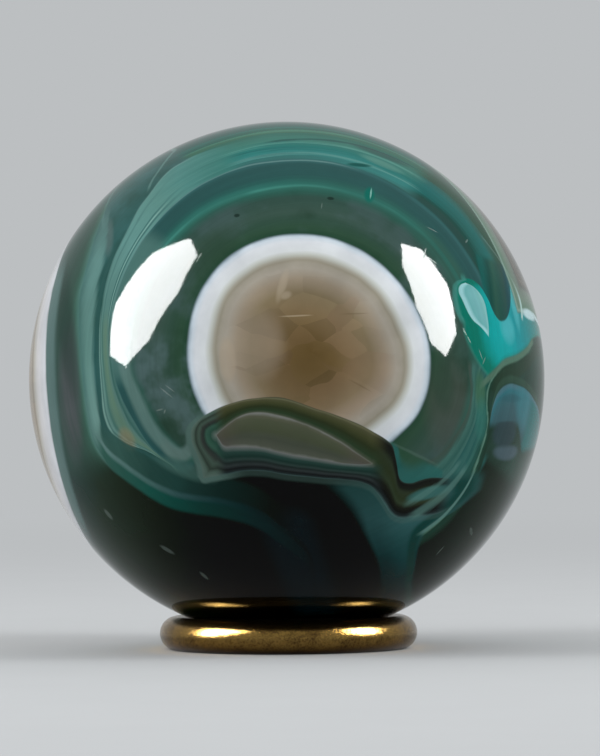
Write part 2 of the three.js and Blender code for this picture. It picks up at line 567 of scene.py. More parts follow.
def paint_shells(graph, settings, m, paint, eye_edge, arc, thin):
    """Shells round the eye. Their colour follows the depth between the guide lines."""
    first = ((m.r - eye_edge) / (arc - eye_edge)).most(0).least(1)
    second = ((m.r - arc) / (thin - arc)).most(0)
    depth = first + second
    shells = graph.ramp(
        depth + m.streaks * 0.06,
        [
            (0.0, tint(36, 66, 50)), (0.12, settings.moss), (0.28, tint(48, 74, 62)),
            (0.45, settings.mist),
            (0.74, tint(48, 74, 66)), (0.86, tint(42, 84, 74)), (0.94, tint(46, 98, 88)),
            (0.99, tint(60, 122, 111)), (1.05, tint(46, 104, 95)), (1.22, tint(40, 86, 81)),
            (1.38, tint(40, 79, 77)), (1.85, tint(40, 78, 77)), (1.95, tint(46, 88, 88)),
            (2.1, tint(46, 96, 94)), (2.3, tint(42, 98, 93)),
        ],
    )
    # The arc is dull at the right and bright at the upper left
    dull = graph.rise(depth, 0.7, 0.95) * graph.rise(depth, 1.5, 1.1) * graph.rise(m.turn, 106, 74)
    shells = graph.mix(shells, tint(48, 84, 74), dull * (0.3 + graph.rise(m.turn, 55, 38) * 0.6))
    faint = graph.stripe(depth - 1.0, 0.03, 0.06) * graph.rise(m.haze, -0.04, 0.12)
    shells = graph.mix(shells, tint(44, 98, 89), faint * 0.6)
    pale = graph.window(m.left_turn, 143, 182, 7) * graph.rise(depth, 0.95, 1.1)
    pale = pale * graph.rise(depth, 2.1, 1.95)
    shells = graph.mix(shells, tint(74, 112, 106), pale * 0.85)

    # Mottle of slate blue, olive and brown in the zone next to the eye
    zone = graph.rise(depth, 0.95, 0.7)
    blue = zone * graph.rise(m.haze + m.clouds * 0.6, 0.02, 0.2)
    shells = graph.mix(shells, tint(68, 88, 88), blue * 0.5)
    green = zone * graph.rise(m.haze + m.clouds * 0.5, -0.05, -0.2)
    shells = graph.mix(shells, tint(30, 56, 40), green * 0.6)
    side = graph.window(m.left_turn, 176, 212, 8) * graph.rise(m.clouds, -0.12, 0.12)
    shells = graph.mix(shells, tint(76, 98, 98), zone * side * 0.8)
    brown = m.patch((21.6, -8.0), (3.2, 5.4), 8, 0.8)
    shells = graph.mix(shells, tint(66, 74, 66), brown * zone * 0.7)
    beside = m.patch((20.2, -4.0), (1.6, 3.6), 8, 0.6).most(m.patch((-14.5, 16.0), (4.5, 2.0), 40, 0.7))
    shells = graph.mix(shells, tint(44, 68, 54), beside * 0.6)
    upper = graph.window(m.upper_turn, -48, 222, 3)
    paint = graph.mix(paint, shells, upper * graph.rise(depth, 2.45, 2.2))
    line = graph.stripe(depth - 2.0, 0.012, 0.04) * graph.window(m.turn, 84, 160, 14)
    return graph.mix(paint, tint(92, 128, 126), line * 0.8), depth


def paint_upper(graph, m, paint, depth):
    """Clear teal at the top and along the upper right, with wisps and darker green outside it."""
    from_teal = m.r - graph.line(m.turn, UPPER_TEAL)
    upper_right = graph.ramp(
        from_teal + m.streaks * 3.0 + m.fibres * 2.0,
        [
            (-6.0, tint(34, 68, 64)), (-4.2, tint(32, 66, 60)), (-3.4, tint(18, 66, 58)),
            (-2.0, tint(26, 84, 78)), (0.2, tint(22, 94, 90)), (1.4, tint(34, 86, 78)),
            (2.6, tint(32, 70, 54)), (4.6, tint(32, 68, 50)), (7.0, tint(40, 74, 60)),
            (12.0, tint(30, 60, 50)),
        ],
    )
    bright = graph.rise(m.turn, 36, 58) * graph.window(from_teal, -2.5, 2.0, 1.2)
    upper_right = graph.mix(upper_right, tint(4, 92, 90), bright * 0.7)
    paint = graph.mix(paint, upper_right, graph.window(m.turn, 6, 64, 9) * graph.rise(depth, 1.98, 2.12))
    top = graph.ramp(
        m.r + m.streaks * 3.4 + m.fibres * 4.2 + (m.turn - 95).size() * 0.035,
        [
            (33.0, tint(56, 98, 96)), (34.4, tint(50, 104, 100)), (36.0, tint(48, 118, 114)),
            (37.6, tint(28, 106, 100)), (38.6, tint(38, 106, 98)), (40.0, tint(54, 112, 100)),
            (41.6, tint(44, 102, 90)), (43.2, tint(44, 94, 74)), (44.8, tint(20, 88, 72)),
            (46.2, tint(0, 78, 68)), (48.5, tint(0, 72, 64)), (52.0, tint(4, 62, 54)),
            (58.0, tint(12, 58, 50)),
        ],
    )
    above = graph.window(m.turn, 60, 122, 7) * graph.rise(depth, 2.02, 2.12)
    above = above * graph.rise(m.r + m.clouds * 12, 64, 52)
    paint = graph.mix(paint, top, above)
    for at, half, lean, shade in TOP_WISPS:
        wisp = graph.stripe(m.r - at + (m.turn - 90) * lean + m.streaks * 2.4, half, 0.45)
        wisp = wisp * above * graph.rise(m.fibres, -0.12, 0.12)
        paint = graph.mix(paint, shade, wisp * 0.65)
    fine = graph.stripe(m.r - 40.3 + (m.turn - 84) * 0.06 + m.streaks * 1.2, 0.12, 0.35)
    paint = graph.mix(paint, tint(24, 74, 70), fine * graph.window(m.turn, 62, 94, 5) * 0.8)
    slip = m.patch((15.0, 37.6), (4.5, 0.9), -22, 0.5)
    paint = graph.mix(paint, tint(38, 66, 64), slip * 0.6)
    glow = m.patch((14.6, 34.4), (3.0, 0.8), -24, 0.7)
    paint = graph.mix(paint, tint(82, 132, 120), glow * 0.7)

    # Dark comma and a small green loop with a pale stroke in it
    comma = m.patch((10.1, 32.9), (1.9, 0.45), 4, 0.4)
    paint = graph.mix(paint, tint(4, 70, 64), comma * 0.9)
    loop = m.patch((10.6, 25.9), (0.75, 1.5), -14, 0.4)
    paint = graph.mix(paint, tint(8, 96, 84), loop * 0.85)
    stroke = m.patch((10.9, 26.2), (0.12, 1.0), -14, 0.5)
    paint = graph.mix(paint, tint(120, 170, 160), stroke * 0.8)
    specks = m.patch((-10.3, 21.8), (0.4, 0.3)).most(m.patch((4.1, 24.5), (0.5, 0.3)))
    return graph.mix(paint, tint(24, 40, 34), specks * 0.8)


def paint_sweep(graph, m, paint, thin, sweep_end):
    """Pale sweep from the left side up to the top, with thin lines along it."""
    share = (m.r - thin) / (sweep_end - thin)
    colour_along = graph.ramp(
        m.left_turn + m.streaks * 14,
        [
            (96, tint(44, 110, 102)), (110, tint(56, 114, 106)), (120, tint(72, 124, 118)),
            (130, tint(86, 132, 125)), (145, tint(93, 138, 133)), (158, tint(86, 126, 120)),
            (180, tint(80, 120, 112)),
        ],
    )
    sweep = graph.window(m.left_turn, 112, 182, 9) * graph.window(share, 0.03, 1.0, 0.05)
    paint = graph.mix(paint, colour_along, sweep)
    paint = graph.mix(paint, tint(120, 160, 152), sweep * graph.rise(m.fibres, 0.08, 0.3) * 0.35)
    paint = graph.mix(paint, tint(52, 104, 98), sweep * graph.rise(m.fibres, -0.08, -0.3) * 0.4)
    fine = graph.stripe(share - 0.27 + m.streaks * 0.05, 0.012, 0.035)
    fine = fine.most(graph.stripe(share - 0.13, 0.015, 0.04))
    fine = fine.most(graph.stripe(share - 0.72 + m.streaks * 0.1, 0.01, 0.06) * 0.5)
    paint = graph.mix(paint, tint(50, 92, 90), sweep * fine * graph.rise(m.left_turn, 118, 140) * 0.75)
    pale = graph.stripe(share - 0.2, 0.01, 0.03) * graph.window(m.left_turn, 135, 168, 8)
    paint = graph.mix(paint, tint(124, 164, 156), pale * sweep * 0.7)
    rim = graph.stripe(share - 0.98, 0.012, 0.035) * graph.window(m.left_turn, 120, 158, 6)
    return graph.mix(paint, tint(110, 150, 144), rim * 0.6)


def paint_left(graph, m, paint, dark, arc, thin, sweep_end):
    """Left side: slate wedge, pale band, grey zone beyond it, and the fan with its orange spark."""
    far_band = graph.line(m.left_turn, PALE_BAND_FAR)
    near_band = graph.line(m.left_turn, PALE_BAND_NEAR)
    wedge = graph.ramp(m.clouds, [(-0.15, tint(36, 76, 70)), (0.15, tint(46, 88, 86))])
    wedge = graph.mix(wedge, tint(36, 72, 66), graph.rise(m.left_turn, 196, 212))
    wedge = graph.mix(wedge, tint(24, 70, 62), graph.rise(m.r, 46, 54))
    outside = graph.edge(m.r - sweep_end + 0.15, 0.3) * graph.window(m.left_turn, 119, 224, 4)
    paint = graph.mix(paint, wedge, outside * graph.rise(m.r, 66, 56))

    # Two thin pale lines that run up the wedge to the rim
    twig = m.left_turn - graph.line(m.r, [(38, 144), (42, 143.6), (45.2, 141.7), (50, 136), (54, 130.5)])
    slip = m.left_turn - graph.line(
        m.r, [(37, 142.3), (39.4, 132), (42.4, 127.5), (45.2, 122.8), (50, 117)]
    )
    twigs = (graph.stripe(twig, 0.25, 0.55) * 0.8).most(graph.stripe(slip, 0.2, 0.6))
    paint = graph.mix(paint, tint(96, 136, 130), twigs * graph.window(m.r, 42, 53, 2) * 0.5)
    paint = graph.mix(paint, tint(76, 100, 98), m.patch((-33.0, 23.0), (0.9, 3.4), 8, 0.6) * 0.8)

    # Green grey zone between the pale band and the left cap
    past = m.r - far_band
    grey = graph.ramp(
        past + m.clouds * 2.0,
        [
            (0.0, tint(60, 102, 92)), (0.9, tint(54, 90, 78)), (2.2, tint(48, 76, 66)),
            (4.6, tint(44, 70, 62)),
            (7.0, tint(42, 70, 62)), (10.0, tint(34, 66, 58)), (16.0, tint(22, 62, 54)),
        ],
    )
    mauve = m.patch((-40.3, -4.2), (2.0, 8.5), 0, 0.9) * (1 + m.streaks * 2)
    grey = graph.mix(grey, tint(72, 78, 80), mauve * 0.8)
    grey = graph.mix(grey, tint(24, 50, 42), m.patch((-41.8, 9.0), (1.6, 9.0), 12, 0.9) * 0.6)
    beyond = graph.edge(past, 0.3) * graph.window(m.left_turn, 140, 206, 5)
    paint = graph.mix(paint, grey, beyond * graph.rise(m.r, 66, 56))
    # Fades into the dark underside, which is partly painted shade
    fade = graph.edge(past - 0.3, 0.5) * graph.rise(m.left_turn, 200, 210)
    fade = fade * graph.rise(m.left_turn, 260, 240)
    paint = graph.mix(paint, dark, fade * graph.rise(m.r, 66, 56))

    # Fan of thin bands between the thin line and the end of the sweep
    fan_share = (m.r - thin) / (sweep_end - thin)
    fan_colour = graph.ramp(
        fan_share + m.streaks * 0.3,
        [
            (0.0, tint(70, 108, 102)), (0.1, tint(54, 94, 88)), (0.2, tint(82, 118, 110)),
            (0.42, tint(90, 122, 104)), (0.62, tint(86, 120, 106)), (0.74, tint(66, 106, 98)),
            (0.84, tint(94, 132, 124)), (0.93, tint(66, 104, 98)), (1.0, tint(108, 144, 136)),
        ],
    )
    fan = graph.window(m.left_turn, 172, 216, 9) * graph.window(fan_share, 0.0, 1.0, 0.08)
    paint = graph.mix(paint, fan_colour, fan)
    spark = m.patch((-28.4, -12.3), (0.9, 1.3), 30, 0.95)
    paint = graph.mix(paint, tint(130, 116, 84), spark * 0.55)
    shadow = graph.window(m.left_turn, 150, 216, 6) * graph.stripe(m.r - sweep_end - 0.6, 0.14, 0.35)
    paint = graph.mix(paint, tint(44, 82, 78), shadow * 0.75)

    # Pale band
    width = far_band - near_band
    within = (m.r - near_band) / width + m.streaks * 0.5
    band = graph.window(m.left_turn, 142, 210, 5) * graph.rise(within, -0.3, 0.08)
    band = band * graph.rise(within, 1.5, 0.3)
    band_colour = graph.ramp(
        m.left_turn,
        [
            (140, tint(70, 104, 100)), (152, tint(92, 132, 127)), (175, tint(90, 129, 122)),
            (200, tint(110, 149, 142)), (216, tint(66, 104, 98)),
        ],
    )
    paint = graph.mix(paint, band_colour, band * 0.95)

    # Lower left: the band thins to a line and ends in the dark. Its colours darken towards the bottom
    # middle, partly in the stone and partly as painted shade.
    over_edge = m.up - graph.line(m.across, LOW_EDGE)
    low = graph.window(m.across, -33, 1, 3) * graph.rise(m.up, -8, -14)
    body = graph.ramp(
        m.across + m.clouds * 4.0,
        [
            (-30, tint(50, 84, 76)), (-25, tint(34, 66, 60)), (-20, tint(28, 60, 55)),
            (-14, tint(18, 42, 38)),
            (-6, tint(9, 20, 15)), (0, tint(7, 12, 9)),
        ],
    )
    inside = low * graph.window(over_edge, 0.6, 4.2, 1.2) * graph.rise(m.across, -1, -6)
    paint = graph.mix(paint, body, inside * 0.9)
    line_colour = graph.ramp(
        m.across,
        [
            (-33, tint(88, 120, 116)), (-26, tint(68, 102, 98)), (-20, tint(46, 78, 78)),
            (-14, tint(24, 54, 54)), (-8, tint(9, 34, 34)), (0, tint(6, 18, 18)),
        ],
    )
    paint = graph.mix(paint, line_colour, low * graph.stripe(over_edge - 0.55, 0.3, 0.7))
    glow = graph.ramp(
        m.across,
        [
            (-33, tint(46, 86, 76)), (-25, tint(22, 78, 68)), (-16, tint(1, 54, 48)),
            (-8, tint(1, 38, 38)),
            (2, tint(4, 20, 22)),
        ],
    )
    paint = graph.mix(paint, glow, low * graph.window(over_edge, -1.5, -0.2, 0.9))

    # Broad pale bend under the fan, which turns up to the block round a grey pocket
    bend = graph.window(m.left_turn, 172, 216, 6) * graph.stripe(m.r - arc + 0.2, 0.5, 1.0)
    paint = graph.mix(paint, tint(92, 122, 117), bend * 0.8)
    loop = graph.vector("LENGTH", graph.place(m.across + 19.6, (m.up + 11.2) * 0.72), output=1)
    hook = graph.stripe(loop - 2.5, 0.35, 0.7) * graph.rise(m.up, -11.5, -13.5)
    paint = graph.mix(paint, tint(90, 116, 110), hook * 0.85)
    fold = m.patch((-19.0, -16.8), (3.6, 1.0), -20, 0.7)
    return graph.mix(paint, tint(64, 98, 90), fold * 0.7)


def paint_right(graph, m, paint):
    """Right side: thin bands that gather into one line at the edge of the zone round the eye."""
    start = graph.line(m.turn, BAND_START)
    end = graph.line(m.turn, RIGHT_LINE)
    share = (m.r - start) / (end - start)
    outer = graph.window(m.turn, -26, 14, 4) * graph.rise(share, 1, 1.1)
    outer = outer * graph.rise(m.r + m.clouds * 10, 66, 54)
    shade = graph.ramp(m.clouds, [(-0.15, tint(24, 50, 38)), (0.15, tint(34, 62, 52))])
    paint = graph.mix(paint, shade, outer)
    bands = graph.ramp(
        share + m.streaks * 0.34 + m.clouds * 0.12,
        [
            (-0.1, tint(60, 76, 68)), (0.0, tint(56, 82, 74)), (0.08, tint(60, 101, 93)),
            (0.2, tint(46, 88, 81)),
            (0.3, tint(60, 102, 95)), (0.37, tint(38, 84, 80)), (0.5, tint(50, 96, 90)),
            (0.57, tint(36, 84, 80)),
            (0.66, tint(50, 98, 90)), (0.74, tint(32, 76, 68)), (0.82, tint(34, 78, 70)),
            (0.9, tint(28, 70, 58)),
            (0.96, tint(82, 120, 106)), (0.99, tint(78, 116, 100)), (1.03, tint(26, 60, 48)),
            (1.15, tint(24, 50, 38)),
        ],
    )
    area = graph.window(m.turn, -60, -4, 4) * graph.window(share, -0.08, 1.12, 0.1)
    paint = graph.mix(paint, bands, area)
    olive = m.patch((27.4, -5.2), (0.9, 2.6), 4, 0.6)
    paint = graph.mix(paint, tint(60, 98, 74), olive * 0.8)
    teal = m.patch((28.0, -9.6), (1.0, 2.6), 6, 0.7)
    return graph.mix(paint, tint(48, 106, 96), teal * 0.7)


def paint_strands(graph, m, paint):
    """Ends of the right side's thin lines, which run on over the arm of the block."""
    start = graph.line(m.turn, BAND_START)
    end = graph.line(m.turn, RIGHT_LINE)
    share = (m.r - start) / (end - start)
    strands = graph.stripe(share - 0.965, 0.012, 0.03) * 0.9
    strands = strands.most(graph.stripe(share - 0.62 + m.streaks * 0.12, 0.03, 0.06) * 0.55)
    strands = strands.most(graph.stripe(share - 0.4 + m.streaks * 0.12, 0.02, 0.05) * 0.45)
    return graph.mix(paint, tint(88, 128, 120), strands * graph.window(m.turn, -54, -36, 4))


def paint_wash(graph, m, paint):
    """Teal wash that runs down from the block. It darkens downwards and towards its left side, partly in
    the stone and partly as painted shade.
    """
    left = graph.line(m.up, WASH_LEFT_AT)
    right = graph.line(m.up, WASH_RIGHT_AT)
    share = (m.across - left) / (right - left)
    below = graph.rise(m.up, -17.5, -20) * graph.rise(m.r, 62, 52) * graph.rise(m.across, 0, 6)
    # Painted shade with the stone's teal: the wash darkens downwards and towards its left side
    wash_and_shade = graph.ramp(
        m.up + m.clouds * 3.0,
        [
            (-50, tint(2, 20, 20)), (-44, tint(1, 28, 27)), (-38, tint(2, 42, 41)),
            (-33, tint(12, 58, 58)),
            (-29, tint(34, 76, 76)), (-25, tint(48, 90, 90)), (-20, tint(40, 80, 78)),
        ],
    )
    wash_and_shade = graph.shade(wash_and_shade, 0.7 + graph.rise(share, 0.1, 0.75) * 0.4)
    paint = graph.mix(paint, wash_and_shade, below * graph.window(share, 0.06, 1.02, 0.16))
    strip = below * graph.stripe(share - 0.95, 0.05, 0.14)
    return graph.mix(paint, tint(0, 54, 46), strip * 0.85)


def paint_eye(graph, settings, m, paint, eye_edge):
    """Main eye: milky ring, a thin olive line inside it and a brown core with facets."""
    inside = eye_edge - m.r
    eye = graph.ramp(
        inside + m.clouds * 0.9,
        [
            (0.0, tint(150, 168, 180)), (0.5, tint(196, 208, 217)), (1.2, settings.white),
            (2.7, tint(207, 212, 214)), (3.3, tint(186, 190, 184)), (3.9, tint(158, 156, 144)),
            (4.3, tint(143, 138, 123)), (4.7, tint(152, 147, 134)), (5.6, settings.cream),
            (7.2, tint(146, 134, 116)), (9.2, settings.honey), (12.0, tint(118, 101, 74)),
            (15.0, tint(104, 86, 56)), (18.0, settings.amber),
        ],
    )
    eye = graph.mix(eye, tint(88, 70, 38), m.patch((-0.6, -3.6), (4.2, 4.0), 0, 0.7) * 0.5)
    eye = eye_core(graph, m, eye, inside)
    lobe = m.patch((-11.9, -0.8), (1.1, 3.0), 4, 0.25)
    eye = graph.mix(eye, tint(164, 150, 130), lobe * 0.55)
    pale = m.patch((-7.2, 1.2), (2.4, 3.4), 0, 0.8)
    eye = graph.mix(eye, tint(150, 138, 122), pale * 0.45)
    wisp = m.patch((-3.9, 9.8), (0.4, 1.7), -16, 0.9).most(m.patch((-3.5, 8.3), (0.6, 0.4), 20, 0.9))
    eye = graph.mix(eye, tint(176, 164, 144), wisp * 0.4)
    crack = m.patch((-2.1, 5.25), (1.9, 0.11), 2, 0.5)
    eye = graph.mix(eye, tint(180, 166, 140), crack * 0.45)
    split = m.patch((6.3, 5.6), (1.6, 0.09), 3, 0.6).most(m.patch((6.9, -4.7), (1.4, 0.1), -28, 0.6))
    eye = graph.mix(eye, tint(84, 66, 48), split * 0.3)
    return graph.mix(paint, eye, graph.edge(inside, 0.28))


def paint_block(graph, m, paint):
    """Broken block that cuts the eye: a crescent with nested bands, and an arm to the right."""
    top = graph.line(m.across, BLOCK_TOP)
    foot = graph.line(m.across, BLOCK_FOOT)
    side = m.across - graph.line(m.up, BLOCK_SIDE_AT)
    to_edge = (top - m.up).least(m.up - foot).least(side)
    above = m.up - graph.line(m.across, CRESCENT_TOP)
    under = graph.line(m.across, CRESCENT_FOOT) - m.up
    beside = (-13.7 - m.across).most(m.across - 9.0).most(0)
    off = above.most(under).most(0)
    from_heart = (off * off + beside * beside).math("SQRT")
    share = from_heart / (from_heart + to_edge.most(0.01))

    # Pale border outside the block, wide at the left and thin at the right
    border = graph.rise(m.across, -9, -15) * 0.7 + 0.3
    wide = (m.up - foot).least(side) + 0.3
    outer = graph.stripe(wide, 0.22, 0.6) * graph.rise(m.across, 27, 22) * graph.rise(m.up, -7.6, -9.6)
    paint = graph.mix(paint, tint(76, 102, 95), outer * border)

    upper = graph.ramp(
        share + m.clouds * 0.14,
        [
            (0.0, tint(100, 104, 94)), (0.07, tint(66, 76, 60)), (0.18, tint(42, 60, 40)),
            (0.45, tint(42, 51, 30)),
            (0.7, tint(64, 68, 42)), (0.86, tint(74, 76, 52)), (0.94, tint(98, 98, 74)),
            (1.0, tint(66, 72, 56)),
        ],
    )
    lower = graph.ramp(
        share + m.clouds * 0.08,
        [
            (0.0, tint(106, 110, 108)), (0.08, tint(84, 96, 92)), (0.2, tint(40, 66, 60)),
            (0.38, tint(26, 50, 44)),
            (0.5, tint(44, 62, 58)), (0.6, tint(30, 40, 38)), (0.72, tint(46, 54, 54)),
            (0.84, tint(22, 25, 26)),
            (0.94, tint(32, 42, 42)), (1.0, tint(58, 80, 78)),
        ],
    )
    lefts = graph.ramp(
        share + m.clouds * 0.08,
        [
            (0.0, tint(112, 118, 114)), (0.1, tint(80, 98, 90)), (0.24, tint(40, 72, 60)),
            (0.4, tint(50, 84, 70)),
            (0.5, tint(40, 50, 46)), (0.58, tint(48, 54, 50)), (0.7, tint(64, 82, 72)),
            (0.82, tint(46, 58, 50)),
            (0.9, tint(72, 92, 82)), (1.0, tint(84, 104, 96)),
        ],
    )
    block = graph.mix(upper, lower, graph.edge(under - above - 0.6, 1.0))
    block = graph.mix(block, lefts, graph.rise(m.across, -12.2, -14.4))
    heart_share = -under / (-under - above).most(0.2)
    heart = graph.ramp(
        heart_share + m.clouds * 0.3,
        [
            (0.0, tint(112, 116, 110)), (0.08, tint(66, 72, 54)), (0.3, tint(46, 55, 32)),
            (0.6, tint(58, 67, 41)),
            (0.84, tint(68, 75, 52)), (0.93, tint(82, 84, 66)), (1.0, tint(122, 124, 120)),
        ],
    )
    heart = graph.mix(heart, tint(66, 56, 50), graph.rise(m.across, -9.5, -13.5) * 0.6)
    heart = graph.mix(heart, tint(78, 70, 66), graph.rise(m.across, 3.5, 7.5) * 0.6)
    in_heart = graph.edge(-off - beside + 0.02, 0.06) * graph.edge(-under, 0.1) * graph.edge(-above, 0.1)
    block = graph.mix(block, heart, in_heart)
    inside = graph.edge(to_edge, 0.1) * graph.rise(m.across, 24, 20)
    paint = graph.mix(paint, block, inside)

    arm_share = (top - m.up) / (top - foot).most(0.5)
    arm = graph.ramp(
        arm_share + m.clouds * 0.1,
        [
            (0.0, tint(40, 48, 42)), (0.06, tint(22, 24, 21)), (0.17, tint(26, 30, 24)),
            (0.28, tint(44, 54, 38)),
            (0.45, tint(42, 52, 32)), (0.6, tint(46, 58, 40)), (0.72, tint(26, 28, 20)),
            (0.84, tint(16, 18, 16)),
            (0.93, tint(32, 42, 42)), (1.0, tint(66, 96, 94)),
        ],
    )
    paint = graph.mix(paint, arm, inside * graph.rise(m.across, 8.6, 11.6))

    # Teal triangle in the corner over the arm, and the pale lens in the arm
    corner = graph.window(m.across, 12.0, 21.0, 0.6) * graph.edge(m.up - top, 0.15)
    corner = corner * graph.rise(m.up + m.across * 0.5, -6.4, -7.4)
    teal = graph.mix(tint(42, 76, 56), tint(40, 95, 90), graph.rise(m.up - top, 3.8, 1.4))
    paint = graph.mix(paint, teal, corner * 0.85)
    ray = m.patch((15.7, -14.6), (3.4, 0.16), -24, 0.9)
    paint = graph.mix(paint, tint(80, 106, 94), ray * 0.4)
    lens = m.patch((19.2, -21.1), (3.4, 0.95), 10, 0.35)
    return graph.mix(paint, tint(56, 103, 99), lens * 0.9)


def paint_flame(graph, m, paint):
    """Blue green flame at the right with a pale almond in it."""
    near = m.across - graph.line(m.up, FLAME_NEAR_AT)
    over = m.up - graph.line(m.across, FLAME_FOOT)
    under = graph.line(m.across, FLAME_TOP) - m.up

    inside = graph.rise(near + m.clouds * 1.5, -0.5, 0.7) * graph.edge(over, 0.35)
    inside = inside * graph.edge(under, 0.15) * graph.rise(m.across, 57, 50)
    inside = inside * graph.edge(9.6 - m.up + graph.rise(m.across, 39, 31) * 10, 0.3)
    body = graph.ramp(
        near + m.clouds * 3.0,
        [
            (0.0, tint(44, 124, 110)), (0.7, tint(8, 108, 92)), (2.5, tint(0, 110, 94)),
            (4.2, tint(0, 132, 124)),
            (6.2, tint(0, 146, 144)), (9.0, tint(2, 152, 152)), (13.0, tint(2, 136, 142)),
            (18.0, tint(4, 124, 126)), (26.0, tint(10, 108, 102)),
        ],
    )
    body = graph.mix(body, tint(40, 112, 96), graph.rise(over, 1.0, 0.0) * 0.5)
    paint = graph.mix(paint, body, inside)

    # Pale blue fold under the dark finger, and its two sides that run up
    fold = m.patch((34.6, 5.6), (1.5, 2.1), 12, 0.7).most(m.patch((37.5, 10.6), (0.8, 3.6), 8, 0.7) * 0.9)
    fold = fold.most(m.patch((31.4, 8.3), (0.35, 2.2), 32, 0.6) * 0.6)
    paint = graph.mix(paint, tint(68, 164, 170), fold * graph.edge(under + 0.1, 0.3) * 0.85)
    shore = graph.stripe(near, 0.2, 0.5) * graph.window(m.up, 6.0, 12.6, 1.2)
    paint = graph.mix(paint, tint(64, 140, 130), shore * 0.5)

    low = m.across - graph.line(m.up, ALMOND_LOW_AT)
    high = graph.line(m.up, ALMOND_HIGH_AT) - m.across
    almond = graph.edge(low.least(high), 0.12) * graph.window(m.up, 3.6, 11.9, 0.12)
    fill = graph.ramp(
        low,
        [
            (0.0, tint(144, 196, 198)), (0.6, tint(146, 196, 200)), (1.3, tint(102, 164, 164)),
            (3.0, tint(112, 170, 172)), (5.0, tint(118, 176, 172)),
        ],
    )
    fill = graph.mix(fill, tint(134, 184, 184), graph.rise(high, 0.5, 0.1) * 0.6)
    paint = graph.mix(paint, fill, almond)

    # Dark finger between the two sides of the fold, green with a blue edge
    finger = graph.edge(-under, 0.25) * graph.window(m.across, 29.6, 37.0, 0.8)
    finger = finger * graph.window(m.up, 6.2, 17, 1.6)
    green = graph.ramp(
        m.across - m.up * 0.1,
        [
            (28.6, tint(4, 84, 78)), (30.0, tint(2, 62, 54)), (31.2, tint(36, 76, 62)),
            (32.4, tint(26, 68, 58)),
            (33.8, tint(30, 66, 60)), (34.8, tint(2, 62, 70)), (36.0, tint(10, 84, 92)),
        ],
    )
    paint = graph.mix(paint, green, finger * 0.85)

    # Pale olive line along the foot, with a dark arc under it
    foot = graph.stripe(over + 0.55, 0.25, 0.6) * graph.window(m.across, 28.4, 43, 1.5)
    paint = graph.mix(paint, tint(82, 112, 94), foot * 0.8)
    arc = graph.stripe(over + 2.6, 0.8, 1.0) * graph.window(m.across, 31.5, 46, 2.5)
    return graph.mix(paint, tint(38, 58, 44), arc * 0.75)


def paint_dome(graph, m, paint):
    """Blue grey dome under the flame, with a dark pocket and a grey foot."""
    depth = graph.line(m.across, DOME_TOP) - m.up
    colour_in = graph.ramp(
        depth + m.clouds * 1.2,
        [
            (0.0, tint(66, 100, 106)), (0.5, tint(64, 104, 114)), (1.2, tint(44, 100, 108)),
            (2.2, tint(50, 92, 98)), (4.0, tint(52, 86, 92)), (6.0, tint(50, 82, 88)),
            (10.0, tint(40, 74, 76)),
        ],
    )
    sky = m.patch((39.8, -7.4), (2.2, 3.6), 18, 0.7)
    colour_in = graph.mix(colour_in, tint(52, 112, 120), sky * 0.8)
    dim = m.patch((35.2, -6.0), (2.2, 0.5), 0, 0.8)
    colour_in = graph.mix(colour_in, tint(36, 80, 88), dim * 0.5)
    teal = graph.rise(m.across + (m.up + 9) * -0.3, 40.6, 43.4)
    colour_in = graph.mix(colour_in, tint(12, 98, 96), teal * graph.rise(depth, 0.2, 1.0) * 0.9)
    side = graph.rise(m.across, 29.7, 30.4) * graph.rise(m.across, 56, 50)
    floor = graph.rise(m.up + graph.rise(m.across, 37.6, 41.5) * 5.0, -11.3, -9.6)
    area = graph.edge(depth, 0.2) * floor * side
    paint = graph.mix(paint, colour_in, area)
    pocket = m.patch((34.4, -11.9), (3.2, 2.5), 0, 0.25) * graph.rise(m.up, -9.6, -10.2)
    paint = graph.mix(paint, tint(40, 60, 64), pocket * 0.9)
    foot = m.patch((35.6, -15.2), (3.5, 1.5), -6, 0.3)
    paint = graph.mix(paint, tint(66, 86, 94), foot * graph.rise(m.up, -13.6, -14.8) * 0.9)
    rim = graph.stripe(depth + 0.75, 0.3, 0.6) * graph.window(m.across, 30.5, 47, 1.5)
    return graph.mix(paint, tint(48, 76, 62), rim * 0.6)


